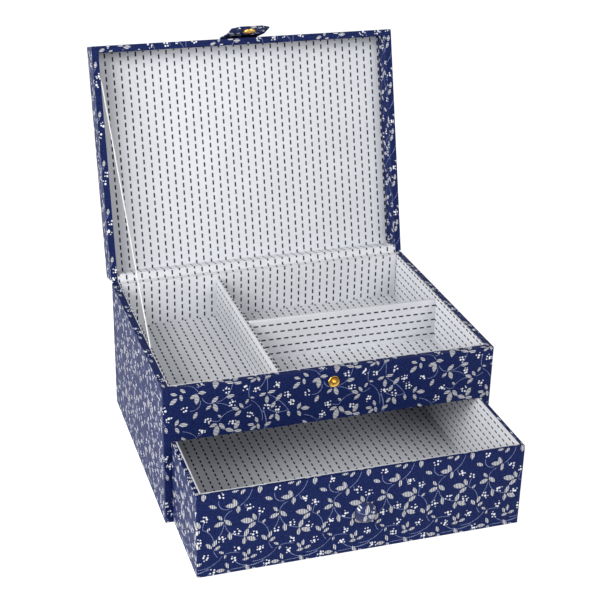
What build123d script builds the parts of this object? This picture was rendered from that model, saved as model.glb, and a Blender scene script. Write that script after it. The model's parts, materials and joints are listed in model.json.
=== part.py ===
"""Cloth-covered sewing box: a lined, divided tray under a shallow hinged lid, over one full-width drawer.

Frame: +X to the viewer's right, the front faces -Y, +Z up, origin at the centre of the base.
The box is modelled as it stands in use: lid open against its stay cord, drawer part way out, tab raised.
All sizes are millimetres.
"""
from build123d import *

import os
from math import asin, cos, degrees, hypot, radians, sin

# ---------------------------------------------------------------- driving dimensions
# Sheet materials
board = 5.2              # doubled greyboard of the case and the lid
cloth = 0.5              # printed cotton with its glue
lining = 1.4             # thin card wrapped in the lining cloth
hinge_cloth = 0.4        # lining cloth alone, where it crosses the hinge

# Case
case_width = 300.0
case_depth = 224.0
case_height = 130.0
base_card = 1.0
shelf_card = 2.8
bay_height = 78.0        # clear height of the drawer's bay
corner_radius = 1.2      # soft corners of the cloth wrap
edge_radius = 0.8

# Tray dividers
divider = 4.0            # card with lining cloth on both faces
divider_drop = 4.2       # their top edges lie this far below the case's top edge
long_divider_x = -45.7   # centre of the front-to-back divider
cross_divider_y = 3.5    # centre of the left-to-right divider

# Lid
lid_height = 28.0        # outside, rim edge to top
lid_open_angle = 105.0   # from closed to the stop of the stay cord

# Drawer
drawer_board = 2.6
drawer_side_gap = 0.6
drawer_top_gap = 0.6
drawer_back_gap = 1.0
drawer_out = 86.0        # how far it stands out at rest

# Cover-button knob on the drawer
knob_diameter = 19.0
knob_height = 7.0
knob_foot = 1.6          # straight lower wall of the shell
knob_crown_diameter = 16.4   # inside its rounded shoulder the dome is flatter
knob_crown = 2.8         # height of that flatter crown
knob_z = 39.5
knob_sheet = 0.8         # shell and cloth together
knob_hollow = 2.4        # depth inside the shell's rim, where the cloth's edge is gathered
knob_plate = 0.6         # back plate that closes the shell
knob_pin_diameter = 2.0

# Press stud: stud on the front panel, socket and cap on the tab
stud_drop = 12.8         # stud centre below the case's top edge
stud_diameter = 10.4
stud_flange = 0.8
stud_ring = 1.1          # width of the raised ring round the stud's edge
stud_dish = 0.16         # depth of the dish inside that ring
stud_head_diameter = 3.6
stud_head_height = 2.0
stud_head_dome = 0.9     # the rounded upper part of the head
stud_neck = 0.2          # how far the neck stands in under the head
socket_diameter = 12.8
socket_height = 2.0
socket_rim_height = 1.7
socket_rim = 1.4         # width of the socket's outer rim
socket_lip = 0.9         # width of the raised lip round the mouth
socket_mouth = 4.8
spring_groove = 0.4      # the head's neck springs into this groove in the mouth
snap_gap = 0.35          # socket face to stud flange when snapped, so that a slight tilt stays clear
cap_diameter = 12.5
cap_height = 1.3
cap_edge = 0.8           # the cap's low dome rises from here, through its shoulder, to its middle
cap_shoulder = 1.2
rolled_edge = 0.3        # rolled rims of the metal parts
post_diameter = 2.6
washer_diameter = 8.0
washer = 0.6

# Tab, a stiffened cloth strap
tab_width = 38.0
tab_thickness = 2.0
tab_on_top = 15.0        # length glued down on the lid
tab_tip_width = 20.0
tab_shoulder = 19.0      # fold line to the shoulders of the tip
tab_length = 25.0        # fold line to the tip
tab_stand_off = 3.6      # fold line in front of the lid's front face
tab_fold_height = 0.2    # fold line above the lid's rim edge
tab_fold_gap = 0.3       # glued length to the strap's rounded fold
tab_raised_angle = 11.5  # rest position, counted from snapped shut

# Stay cord on the left
cord_diameter = 1.5
cord_case_y = -34.0      # lower end, along the left wall
cord_lid_y = 29.5        # upper end, behind the lid's front face
cord_lid_inset = 3.0     # upper end, in from the rim edge

hair = 0.2               # fitting clearance of cards that slip into a finished box

# ---------------------------------------------------------------- derived places
half_width = case_width / 2
front_y = -case_depth / 2
back_y = case_depth / 2
wall = board + 2 * cloth
inner_x = half_width - wall              # cloth-covered inner faces of the side walls
tray_x = inner_x - lining                # lined inner faces of the tray
base_top = base_card + 2 * cloth
bay_top = base_top + bay_height
shelf_bottom = bay_top + cloth
shelf_top = shelf_bottom + shelf_card
tray_floor = shelf_top + lining
divider_top = case_height - divider_drop
tray_front = front_y + wall + lining
tray_back = back_y - wall - lining

drawer_width = 2 * inner_x - 2 * drawer_side_gap
drawer_height = bay_height - drawer_top_gap
drawer_depth = case_depth - wall - drawer_back_gap
drawer_wall = drawer_board + 2 * cloth
drawer_front = front_y - drawer_out
drawer_back = drawer_front + drawer_depth
drawer_top = base_top + drawer_height
drawer_floor = base_top + cloth + drawer_board + lining

# The lid is drawn closed in its own plane, whose origin is the hinge line, and the plane is swung open.
hinge_z = case_height + hinge_cloth
open_rad = radians(lid_open_angle)
lid_plane = Plane(origin=(0, back_y, hinge_z), x_dir=(1, 0, 0), z_dir=(0, sin(open_rad), cos(open_rad)))
lid_up = Axis(lid_plane.origin, lid_plane.z_dir)
rim_z = hinge_cloth                      # rim edge, in the lid's plane
lid_top_z = rim_z + lid_height
lid_board_z = lid_top_z - cloth - board
lid_inside_z = lid_board_z - lining

# The tab folds along a line just above the rim edge; snapped shut, its socket lies over the stud.
fold_y = -case_depth - tab_stand_off
fold_z = rim_z + tab_fold_height
stud_z = case_height - stud_drop
snap_run_y = (stud_flange + snap_gap + socket_height + tab_thickness / 2) - tab_stand_off
snap_run_z = hinge_z + fold_z - stud_z
tab_snap_distance = hypot(snap_run_y, snap_run_z)
tab_snap_angle = degrees(asin(snap_run_y / tab_snap_distance))
tab_lift = radians(tab_snap_angle + tab_raised_angle)
tab_normal = lid_plane.z_dir * sin(tab_lift) - lid_plane.y_dir * cos(tab_lift)
tab_plane = Plane(origin=lid_plane.from_local_coords((0, fold_y, fold_z)), x_dir=(1, 0, 0), z_dir=tab_normal)

os.makedirs("parts", exist_ok=True)


def save(piece, name):
    """Label a finished piece and write its STEP file."""
    piece.part.label = name
    export_step(piece.part, f"parts/{name}.step")


def slab(x, y, z, plane=Plane.XY, mode=Mode.ADD):
    """Add a square-edged panel between the given (low, high) limits to the open part, or cut it out."""
    with BuildSketch(plane.offset(z[0])) as outline:
        with Locations(((x[0] + x[1]) / 2, (y[0] + y[1]) / 2)):
            Rectangle(x[1] - x[0], y[1] - y[0])
    extrude(outline.sketch, amount=z[1] - z[0], mode=mode)


def dome_side(radius, height):
    """Half-way point on a spherical dome's outline, as distances from its axis and from its base."""
    ball = (radius ** 2 + height ** 2) / (2 * height)
    half_turn = asin(radius / ball) / 2
    return ball * sin(half_turn), height - ball * (1 - cos(half_turn))


# ---------------------------------------------------------------- case boards
side_y = (front_y + cloth, back_y - cloth)
board_z = (cloth, case_height - cloth)
case_boards = []
for side, name in ((-1, "side_board_left"), (1, "side_board_right")):
    with BuildPart() as side_board:
        slab(sorted((side * (half_width - cloth), side * (inner_x + cloth))), side_y, board_z)
    save(side_board, name)
    case_boards.append(side_board)

between_sides = (-inner_x - cloth, inner_x + cloth)
stud_pocket = Plane(origin=(0, front_y + wall - cloth, stud_z), x_dir=(1, 0, 0), z_dir=(0, 1, 0))
with BuildPart() as back_board:
    slab(between_sides, (back_y - wall + cloth, back_y - cloth), board_z)
save(back_board, "back_board")

with BuildPart() as front_board:
    slab(between_sides, (front_y + cloth, front_y + wall - cloth), (shelf_bottom, board_z[1]))
    with Locations(stud_pocket):
        CounterBoreHole(post_diameter / 2 + hair / 2, washer_diameter / 2 + hair, 2 * washer)
save(front_board, "front_board")

with BuildPart() as shelf_board:
    slab(between_sides, (front_y + wall - cloth, back_y - wall + cloth), (shelf_bottom, shelf_top))
save(shelf_board, "shelf_board")

with BuildPart() as base_board:
    slab(between_sides, (front_y + cloth, back_y - wall + cloth), (cloth, cloth + base_card))
save(base_board, "base_board")
case_boards += [back_board, front_board, shelf_board, base_board]

# ---------------------------------------------------------------- case cloth
with BuildPart() as base_cloth:
    slab((-half_width, half_width), (front_y, back_y), (0, cloth))
    fillet(base_cloth.edges().filter_by(Axis.Z), corner_radius)
save(base_cloth, "base_cloth")

with BuildPart() as bay_cloth:
    slab(between_sides, (front_y + cloth, back_y - wall + cloth), (base_top - cloth, shelf_bottom))
    slab((-inner_x, inner_x), (front_y, back_y - wall), (base_top, bay_top), mode=Mode.SUBTRACT)
    slab(between_sides, (front_y, front_y + wall - cloth), (bay_top, shelf_bottom), mode=Mode.SUBTRACT)
save(bay_cloth, "bay_cloth")

with BuildPart() as outer_cloth:
    slab((-half_width, half_width), (front_y, back_y), (cloth, case_height))
    fillet(outer_cloth.edges().filter_by(Axis.Z), corner_radius)
    fillet(outer_cloth.faces().sort_by(Axis.Z)[-1].edges(), edge_radius)
    slab((-inner_x, inner_x), (front_y + wall, back_y - wall), (shelf_top, case_height), mode=Mode.SUBTRACT)
    slab((-inner_x, inner_x), (front_y, back_y - wall), (base_top, bay_top), mode=Mode.SUBTRACT)
    for piece in case_boards + [bay_cloth]:
        add(piece.part, mode=Mode.SUBTRACT)
    with Locations(stud_pocket):
        CounterBoreHole(post_diameter / 2 + hair / 2, washer_diameter / 2 + hair, 2 * washer)
save(outer_cloth, "outer_cloth")

# ---------------------------------------------------------------- tray linings and dividers
lining_z = (tray_floor, case_height)
with BuildPart() as tray_floor_lining:
    slab((-inner_x, inner_x), (front_y + wall, back_y - wall), (shelf_top, tray_floor))
save(tray_floor_lining, "tray_floor_lining")

for side, name in ((-1, "tray_lining_left"), (1, "tray_lining_right")):
    with BuildPart() as tray_side:
        slab(sorted((side * tray_x, side * inner_x)), (front_y + wall, back_y - wall), lining_z)
    save(tray_side, name)

for y, name in (((front_y + wall, tray_front), "tray_lining_front"),
                ((tray_back, back_y - wall), "tray_lining_back")):
    with BuildPart() as tray_end:
        slab((-tray_x, tray_x), y, lining_z)
    save(tray_end, name)

divider_z = (tray_floor, divider_top)
with BuildPart() as long_divider:
    slab((long_divider_x - divider / 2, long_divider_x + divider / 2), (tray_front, tray_back), divider_z)
    fillet(long_divider.faces().sort_by(Axis.Z)[-1].edges().filter_by(Axis.Y), edge_radius)
save(long_divider, "long_divider")

with BuildPart() as cross_divider:
    slab((long_divider_x + divider / 2, tray_x),
         (cross_divider_y - divider / 2, cross_divider_y + divider / 2), divider_z)
    fillet(cross_divider.faces().sort_by(Axis.Z)[-1].edges().filter_by(Axis.X), edge_radius)
save(cross_divider, "cross_divider")

# ---------------------------------------------------------------- lid, drawn closed in its own plane
lid_y = (-case_depth, 0)
lid_boards = []
with BuildPart() as lid_top_board:
    slab((-half_width + cloth, half_width - cloth), (lid_y[0] + cloth, lid_y[1] - cloth),
         (lid_board_z, lid_top_z - cloth), lid_plane)
save(lid_top_board, "lid_top_board")
lid_boards.append(lid_top_board)

rim_board_z = (rim_z + cloth, lid_board_z)
for side, name in ((-1, "lid_rim_left"), (1, "lid_rim_right")):
    with BuildPart() as rim:
        slab(sorted((side * (half_width - cloth), side * (inner_x + cloth))),
             (lid_y[0] + cloth, lid_y[1] - cloth), rim_board_z, lid_plane)
    save(rim, name)
    lid_boards.append(rim)
for y, name in (((lid_y[0] + cloth, lid_y[0] + cloth + board), "lid_rim_front"),
                ((lid_y[1] - cloth - board, lid_y[1] - cloth), "lid_rim_rear")):
    with BuildPart() as rim:
        slab(between_sides, y, rim_board_z, lid_plane)
    save(rim, name)
    lid_boards.append(rim)

with BuildPart() as lid_cloth:
    slab((-half_width, half_width), lid_y, (rim_z, lid_top_z), lid_plane)
    fillet(lid_cloth.edges().filter_by(lid_up), corner_radius)
    fillet(lid_cloth.faces().sort_by(lid_up)[-1].edges(), edge_radius)
    slab((-inner_x, inner_x), (lid_y[0] + wall, lid_y[1] - wall), (rim_z, lid_board_z), lid_plane,
         mode=Mode.SUBTRACT)
    for piece in lid_boards:
        add(piece.part, mode=Mode.SUBTRACT)
save(lid_cloth, "lid_cloth")

with BuildPart() as lid_lining:
    slab((-inner_x + hair, inner_x - hair), (lid_y[0] + wall + hair, lid_y[1] - wall - hair),
         (lid_inside_z, lid_board_z), lid_plane)
save(lid_lining, "lid_lining")

# ---------------------------------------------------------------- hinge: the lining runs over both wall edges
with BuildPart() as hinge_lining_case:
    slab((-inner_x, inner_x), (tray_back, back_y - edge_radius), (case_height, hinge_z))
save(hinge_lining_case, "hinge_lining_case")

rim_lining_y = lid_y[1] - wall - hinge_cloth
with BuildPart() as hinge_lining_lid:
    slab((-inner_x, inner_x), (rim_lining_y, lid_y[1] - edge_radius), (0, rim_z), lid_plane)
    slab((-inner_x, inner_x), (rim_lining_y, lid_y[1] - wall), (rim_z, lid_inside_z), lid_plane)
save(hinge_lining_lid, "hinge_lining_lid")

# ---------------------------------------------------------------- tab
# Fixed length: glued on the lid's top, turned over its front edge, then standing a little off the front wall.
tab_side = Plane(origin=lid_plane.from_local_coords((0, 0, 0)), x_dir=lid_plane.y_dir, z_dir=lid_plane.x_dir)
top_mid = lid_top_z + tab_thickness / 2
turn_y = -case_depth - tab_thickness / 2
with BuildPart() as tab_root:
    with BuildSketch(tab_side):
        with BuildLine() as root_line:
            FilletPolyline((-case_depth + tab_on_top, top_mid), (turn_y, top_mid),
                           (fold_y, fold_z + tab_thickness / 2 + tab_fold_gap),
                           radius=tab_thickness / 2 + edge_radius)
        trace(root_line.line, tab_thickness)
    extrude(amount=tab_width / 2, both=True)
    add(lid_cloth.part, mode=Mode.SUBTRACT)
save(tab_root, "tab_root")

# Free length: a flat strap, rounded at the fold line and clipped at its end, pierced for the socket's post.
with BuildPart() as tab_strap:
    with BuildSketch(tab_plane.offset(-tab_thickness / 2)):
        with BuildLine():
            Polyline((-tab_width / 2, 0), (tab_width / 2, 0),
                     (tab_width / 2, -tab_shoulder), (tab_tip_width / 2, -tab_length),
                     (-tab_tip_width / 2, -tab_length), (-tab_width / 2, -tab_shoulder), close=True)
        make_face()
    extrude(amount=tab_thickness)
    with BuildSketch(Plane(origin=tab_plane.origin, x_dir=tab_plane.y_dir, z_dir=tab_plane.x_dir)):
        Circle(tab_thickness / 2)
    extrude(amount=tab_width / 2, both=True)
    with Locations(tab_plane.offset(tab_thickness / 2)):
        with Locations((0, -tab_snap_distance)):
            Hole(radius=post_diameter / 2 + hair / 2, depth=tab_thickness)
save(tab_strap, "tab_strap")

# ---------------------------------------------------------------- press stud
snap_axis = Plane(origin=tab_plane.from_local_coords((0, -tab_snap_distance, -tab_thickness / 2)),
                  x_dir=(1, 0, 0), z_dir=-tab_plane.z_dir)
snap_section = Plane(origin=snap_axis.origin, x_dir=(1, 0, 0), z_dir=snap_axis.y_dir * -1)
socket_r = socket_diameter / 2
mouth_r = socket_mouth / 2
groove_z = socket_height / 2
with BuildPart() as snap_socket:
    with BuildSketch(snap_section):
        with BuildLine():
            Polyline((mouth_r, 0), (socket_r, 0), (socket_r, socket_rim_height - rolled_edge),
                     (socket_r - rolled_edge, socket_rim_height), (socket_r - socket_rim, socket_rim_height),
                     (mouth_r + socket_lip, socket_height), (mouth_r, socket_height),
                     (mouth_r, groove_z + spring_groove), (mouth_r + spring_groove, groove_z),
                     (mouth_r, groove_z - spring_groove), close=True)
        make_face()
    revolve(axis=Axis(snap_axis.origin, snap_axis.z_dir))
save(snap_socket, "snap_socket")

cap_z = -tab_thickness
cap_r = cap_diameter / 2
with BuildPart() as snap_cap:
    with BuildSketch(snap_section):
        with BuildLine():
            Polyline((0, cap_z), (cap_r, cap_z), (cap_r, cap_z - cap_edge + rolled_edge),
                     (cap_r - rolled_edge, cap_z - cap_edge), (cap_r / 2, cap_z - cap_shoulder),
                     (0, cap_z - cap_height), close=True)
        make_face()
    revolve(axis=Axis(snap_axis.origin, snap_axis.z_dir))
    with BuildSketch(snap_axis.offset(cap_z)):
        Circle(post_diameter / 2)
    extrude(amount=tab_thickness)
save(snap_cap, "snap_cap")

stud_axis = Plane(origin=(0, front_y, stud_z), x_dir=(1, 0, 0), z_dir=(0, -1, 0))
stud_section = Plane(origin=stud_axis.origin, x_dir=(1, 0, 0), z_dir=(0, 0, 1))
stud_r = stud_diameter / 2
head_r = stud_head_diameter / 2
head_top = stud_flange + stud_head_height
head_base = head_top - stud_head_dome
head_side_x, head_side_z = dome_side(head_r, stud_head_dome)
neck_r = head_r - stud_neck
with BuildPart() as snap_stud:
    with BuildSketch(stud_section):
        with BuildLine():
            Polyline((0, 0), (stud_r - rolled_edge, 0), (stud_r, -stud_flange / 2),
                     (stud_r - rolled_edge, -stud_flange), (stud_r - stud_ring, stud_dish - stud_flange),
                     (neck_r, stud_dish - stud_flange), (neck_r, stud_neck - head_base), (head_r, -head_base))
            ThreePointArc((head_r, -head_base), (head_side_x, -head_base - head_side_z), (0, -head_top))
            Line((0, -head_top), (0, 0))
        make_face()
    revolve(axis=Axis(stud_axis.origin, stud_axis.z_dir))
save(snap_stud, "snap_stud")

rivet_end = wall - cloth - washer + hair
with BuildPart() as stud_rivet:
    with BuildSketch(stud_section):
        with BuildLine():
            Polyline((0, 0), (post_diameter / 2, 0), (post_diameter / 2, rivet_end - washer),
                     (washer_diameter / 2, rivet_end - washer),
                     (washer_diameter / 2 - rolled_edge, rivet_end), (0, rivet_end), close=True)
        make_face()
    revolve(axis=Axis(stud_axis.origin, stud_axis.z_dir))
save(stud_rivet, "stud_rivet")

# ---------------------------------------------------------------- drawer
drawer_x = (-drawer_width / 2, drawer_width / 2)
drawer_inner_x = drawer_width / 2 - drawer_wall
drawer_board_z = (base_top + cloth, drawer_top - cloth)
drawer_boards = []
for side, name in ((-1, "drawer_board_left"), (1, "drawer_board_right")):
    with BuildPart() as drawer_side:
        slab(sorted((side * (drawer_width / 2 - cloth), side * (drawer_inner_x + cloth))),
             (drawer_front + drawer_wall - cloth, drawer_back - drawer_wall + cloth), drawer_board_z)
    save(drawer_side, name)
    drawer_boards.append(drawer_side)

with BuildPart() as drawer_board_back:
    slab((drawer_x[0] + cloth, drawer_x[1] - cloth), (drawer_back - drawer_wall + cloth, drawer_back - cloth),
         drawer_board_z)
save(drawer_board_back, "drawer_board_back")

knob_pocket = Plane(origin=(0, drawer_front + drawer_wall - cloth, knob_z), x_dir=(1, 0, 0), z_dir=(0, 1, 0))
with BuildPart() as drawer_board_front:
    slab((drawer_x[0] + cloth, drawer_x[1] - cloth),
         (drawer_front + cloth, drawer_front + drawer_wall - cloth), drawer_board_z)
    with Locations(knob_pocket):
        CounterBoreHole(knob_pin_diameter / 2 + hair / 2, washer_diameter / 2 + hair, 2 * washer)
save(drawer_board_front, "drawer_board_front")

with BuildPart() as drawer_board_bottom:
    slab((-drawer_inner_x - cloth, drawer_inner_x + cloth),
         (drawer_front + drawer_wall - cloth, drawer_back - drawer_wall + cloth),
         (base_top + cloth, base_top + cloth + drawer_board))
save(drawer_board_bottom, "drawer_board_bottom")
drawer_boards += [drawer_board_back, drawer_board_front, drawer_board_bottom]

with BuildPart() as drawer_cloth:
    slab(drawer_x, (drawer_front, drawer_back), (base_top, drawer_top))
    fillet(drawer_cloth.edges().filter_by(Axis.Z), corner_radius)
    fillet(drawer_cloth.faces().sort_by(Axis.Z)[-1].edges(), edge_radius)
    slab((-drawer_inner_x, drawer_inner_x), (drawer_front + drawer_wall, drawer_back - drawer_wall),
         (base_top + cloth + drawer_board, drawer_top), mode=Mode.SUBTRACT)
    for piece in drawer_boards:
        add(piece.part, mode=Mode.SUBTRACT)
    with Locations(knob_pocket):
        CounterBoreHole(knob_pin_diameter / 2 + hair / 2, washer_diameter / 2 + hair, 2 * washer)
save(drawer_cloth, "drawer_cloth")

with BuildPart() as drawer_floor_lining:
    slab((-drawer_inner_x, drawer_inner_x), (drawer_front + drawer_wall, drawer_back - drawer_wall),
         (drawer_floor - lining, drawer_floor))
save(drawer_floor_lining, "drawer_floor_lining")

for side, name in ((-1, "drawer_lining_left"), (1, "drawer_lining_right")):
    with BuildPart() as drawer_side_lining:
        slab(sorted((side * drawer_inner_x, side * (drawer_inner_x - lining))),
             (drawer_front + drawer_wall, drawer_back - drawer_wall), (drawer_floor, drawer_top))
    save(drawer_side_lining, name)

end_x = (-drawer_inner_x + lining, drawer_inner_x - lining)
for y, name in ((drawer_front + drawer_wall, "drawer_lining_front"),
                (drawer_back - drawer_wall - lining, "drawer_lining_back")):
    with BuildPart() as drawer_end_lining:
        slab(end_x, (y, y + lining), (drawer_floor, drawer_top))
    save(drawer_end_lining, name)

# ---------------------------------------------------------------- cloth-covered button knob
knob_axis = Plane(origin=(0, drawer_front, knob_z), x_dir=(1, 0, 0), z_dir=(0, -1, 0))
knob_section = Plane(origin=knob_axis.origin, x_dir=(1, 0, 0), z_dir=(0, 0, 1))
knob_r = knob_diameter / 2
knob_seat_r = knob_r - knob_sheet
crown_r = knob_crown_diameter / 2
crown_z = knob_height - knob_crown
crown_side_x, crown_side_z = dome_side(crown_r, knob_crown)
with BuildPart() as knob_shell:
    with BuildSketch(knob_section):
        with BuildLine():
            Polyline((0, -knob_hollow), (knob_seat_r, -knob_hollow), (knob_seat_r, 0),
                     (knob_r - knob_sheet / 2, 0), (knob_r, -knob_foot), (crown_r, -crown_z))
            ThreePointArc((crown_r, -crown_z), (crown_side_x, -crown_z - crown_side_z), (0, -knob_height))
            Line((0, -knob_height), (0, -knob_hollow))
        make_face()
    revolve(axis=Axis(knob_axis.origin, knob_axis.z_dir))
save(knob_shell, "knob_shell")

pin_end = drawer_wall - cloth
with BuildPart() as knob_back:
    with BuildSketch(knob_section):
        with BuildLine():
            Polyline((0, 0), (knob_seat_r, 0), (knob_seat_r, -knob_plate), (0, -knob_plate), close=True)
        make_face()
    revolve(axis=Axis(knob_axis.origin, knob_axis.z_dir))
    with BuildSketch(knob_axis):
        Circle(knob_pin_diameter / 2)
    extrude(amount=-(pin_end - washer / 2))
save(knob_back, "knob_back")

with BuildPart() as knob_washer:
    with BuildSketch(Plane(origin=(0, drawer_front + pin_end - 2 * washer, knob_z), x_dir=(1, 0, 0),
                           z_dir=(0, 1, 0))):
        Circle(washer_diameter / 2)
        Circle(knob_pin_diameter / 2, mode=Mode.SUBTRACT)
    extrude(amount=washer)
save(knob_washer, "knob_washer")

# ---------------------------------------------------------------- stay cord, taut between lid and left wall
cord_x = -inner_x + cord_diameter / 2 + hair / 2
cord_low = Vector(cord_x, cord_case_y, case_height)
cord_high = lid_plane.from_local_coords((cord_x, cord_lid_y - case_depth, rim_z + cord_lid_inset))
with BuildPart() as stay_cord:
    with BuildLine() as cord_line:
        Line(cord_low - (cord_high - cord_low).normalized() * cord_diameter, cord_high)
    with BuildSketch(Plane(origin=cord_line.line @ 0, z_dir=cord_line.line % 0)):
        Circle(cord_diameter / 2)
    sweep()
    split(bisect_by=Plane.XY.offset(case_height), keep=Keep.TOP)
save(stay_cord, "stay_cord")
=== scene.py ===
"""A cloth-covered sewing box: printed cotton outside, stitch-printed cotton inside, a brass press stud.

Lengths are millimetres, apart from what is handed to Blender, which takes metres.
"""

import json
from math import cos, hypot, radians, sin, tau

import bmesh
import bpy
from mathutils import Matrix, Vector


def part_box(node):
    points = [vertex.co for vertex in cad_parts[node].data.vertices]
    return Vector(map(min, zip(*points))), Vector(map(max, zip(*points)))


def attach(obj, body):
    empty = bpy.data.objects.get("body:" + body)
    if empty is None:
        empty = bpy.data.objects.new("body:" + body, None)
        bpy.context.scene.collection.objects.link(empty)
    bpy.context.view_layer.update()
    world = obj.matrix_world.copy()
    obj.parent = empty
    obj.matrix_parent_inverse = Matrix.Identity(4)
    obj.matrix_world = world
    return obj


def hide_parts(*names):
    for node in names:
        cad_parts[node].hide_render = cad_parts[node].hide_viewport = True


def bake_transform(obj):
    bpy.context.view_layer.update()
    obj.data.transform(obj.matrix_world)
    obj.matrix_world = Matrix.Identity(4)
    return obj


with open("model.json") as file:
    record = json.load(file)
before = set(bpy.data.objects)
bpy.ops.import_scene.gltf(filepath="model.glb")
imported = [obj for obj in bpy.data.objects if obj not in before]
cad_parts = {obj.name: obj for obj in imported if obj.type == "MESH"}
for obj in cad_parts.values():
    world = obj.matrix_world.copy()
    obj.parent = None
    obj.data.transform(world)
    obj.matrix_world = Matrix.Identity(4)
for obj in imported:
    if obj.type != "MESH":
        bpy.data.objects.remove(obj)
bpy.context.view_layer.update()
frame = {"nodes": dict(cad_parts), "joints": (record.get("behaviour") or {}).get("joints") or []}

MM = 0.001
X, Y, Z = 0, 1, 2


# ---------------------------------------------------------------- places, read from the frame
def limits(node_name):
    """Lowest and highest corner of a CAD node."""
    low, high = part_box(node_name)
    return low / MM, high / MM


lid_hinge = next(joint for joint in frame["joints"] if joint["name"] == "lid_hinge")
hinge_line = Vector(lid_hinge["pos_m"]) / MM
lid_open = radians(lid_hinge["range_deg"][1])

case_low, case_high = limits("base_cloth")
case_top = limits("outer_cloth")[1].z
drawer_low, drawer_high = limits("drawer_cloth")
half_width = case_high.x
inner_x = limits("tray_floor_lining")[1].x
tray_back = limits("tray_lining_back")[0].y
wall = half_width - inner_x
lid_depth = case_high.y - case_low.y

# The lid's own frame: origin on the hinge line, +Y to its rear wall, +Z to its top, as if it lay closed.
lid_frame = Matrix.Translation(hinge_line) @ Matrix.Rotation(-lid_open, 4, "X")
LID_TOP = 28.4
LID_INSIDE = 21.3         # face of the lining under the lid's top
HINGE_CLOTH = 0.4         # the cloth that crosses the hinge

TAB_WIDTH = 38.0
TAB_THICKNESS = 2.0
TAB_ON_TOP = 15.0
TAB_TIP_WIDTH = 20.0
TAB_SHOULDER = 19.0       # fold line to the shoulders of the tip
TAB_LENGTH = 25.0         # fold line to the tip
TAB_FOLD = (-227.6, 0.6)  # the fold line's y and z in the lid's frame
TAB_LEAN = 13.8           # how far the tab leans out from the lid's upright, in degrees
TAB_TURN = 0.8            # inner radius of the strap's turn over the lid's front edge

# The cord's route, in metres, as in the part's source: from the left wall up to the lid's rim, held taut.
CORD_ROUTE = ((-0.14295, -0.034, 0.130), (-0.14295, 0.06581, 0.223695), (-0.14295, 0.16562, 0.31739))
CORD_DIAMETER = 0.0015

CAMERA_PLACE = Vector((-0.3516, -1.0755, 0.6731))
CAMERA_YAW, CAMERA_PITCH, CAMERA_ROLL = radians(-18.33), radians(-25.07), radians(1.31)
PHOTO_SIDE = 600
FOCAL_PIXELS = 1356.1
SENSOR = 36.0


# ---------------------------------------------------------------- node and colour helpers
def linear(hex_colour):
    """An sRGB hex colour as linear RGBA."""
    parts = [int(hex_colour[i:i + 2], 16) / 255 for i in (1, 3, 5)]
    return [c / 12.92 if c <= 0.04045 else ((c + 0.055) / 1.055) ** 2.4 for c in parts] + [1.0]


def add(tree, kind, inputs=(), **settings):
    """Add a node with its settings. Inputs are given in order, or by name or number. A node given as an input
    stands for its first output that is in use."""
    node = tree.nodes.new(kind)
    for key, value in settings.items():
        setattr(node, key, value)
    for place, value in inputs.items() if isinstance(inputs, dict) else enumerate(inputs):
        if isinstance(place, str):
            socket = next(s for s in node.inputs if s.enabled and s.name == place)
        else:
            socket = node.inputs[place]
        if isinstance(value, bpy.types.Node):
            value = next(s for s in value.outputs if s.enabled)
        if isinstance(value, bpy.types.NodeSocket):
            tree.links.new(value, socket)
        else:
            socket.default_value = value
    return node


MATHS, VECTORS, RANGE, MIX = "ShaderNodeMath", "ShaderNodeVectorMath", "ShaderNodeMapRange", "ShaderNodeMix"
NOISE, BUMP = "ShaderNodeTexNoise", "ShaderNodeBump"
WAVE_PHASE = 20           # Blender's wave texture runs through this many radians per unit of its scale
WEAVE_PITCH = 0.7         # between threads, as drawn
WEAVE_RELIEF = 0.15


def new_material(name, **constants):
    """A material whose shader's constant sockets are set here."""
    material = bpy.data.materials.new(name)
    material.use_nodes = True
    shader = material.node_tree.nodes["Principled BSDF"]
    for key, value in constants.items():
        shader.inputs[key.replace("_", " ")].default_value = value
    return material, material.node_tree, shader


def feed(tree, node, shader, socket_name):
    """Link a node's output in use to one of the shader's sockets."""
    tree.links.new(next(s for s in node.outputs if s.enabled), shader.inputs[socket_name])


def weave(tree, shader, uv, strength):
    """Plain-weave relief. Threads of such cotton lie about 0.3 mm apart, which is too fine for the render, so
    they are drawn coarser."""
    warp, weft = (add(tree, "ShaderNodeTexWave",
                      {"Vector": uv, "Scale": tau / (WAVE_PHASE * WEAVE_PITCH), "Distortion": 0.5,
                       "Detail Scale": 0.3}, bands_direction=way) for way in "XY")
    slubs = add(tree, NOISE, {"Vector": uv, "Scale": 0.4, "Detail": 3.0}, noise_dimensions="2D")
    relief = add(tree, MATHS, [add(tree, MATHS, [warp, weft], operation="MULTIPLY"), slubs], operation="ADD")
    bump = add(tree, BUMP, {"Strength": strength, "Distance": WEAVE_RELIEF * MM, "Height": relief})
    feed(tree, bump, shader, "Normal")


# ---------------------------------------------------------------- camera
def place_camera():
    """The photograph's view."""
    flat = cos(CAMERA_PITCH)
    ahead = Vector((-sin(CAMERA_YAW) * flat, cos(CAMERA_YAW) * flat, sin(CAMERA_PITCH)))
    level = Vector((cos(CAMERA_YAW), sin(CAMERA_YAW), 0))
    upright = level.cross(ahead)
    right = level * cos(CAMERA_ROLL) + upright * sin(CAMERA_ROLL)
    up = upright * cos(CAMERA_ROLL) - level * sin(CAMERA_ROLL)
    lens = bpy.data.cameras.new("camera")
    lens.sensor_width = SENSOR
    lens.lens = FOCAL_PIXELS * SENSOR / PHOTO_SIDE
    camera = bpy.data.objects.new("camera", lens)
    bpy.context.scene.collection.objects.link(camera)
    camera.matrix_world = Matrix.Translation(CAMERA_PLACE) @ Matrix((right, up, -ahead)).transposed().to_4x4()
    bpy.context.scene.camera = camera


place_camera()


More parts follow.
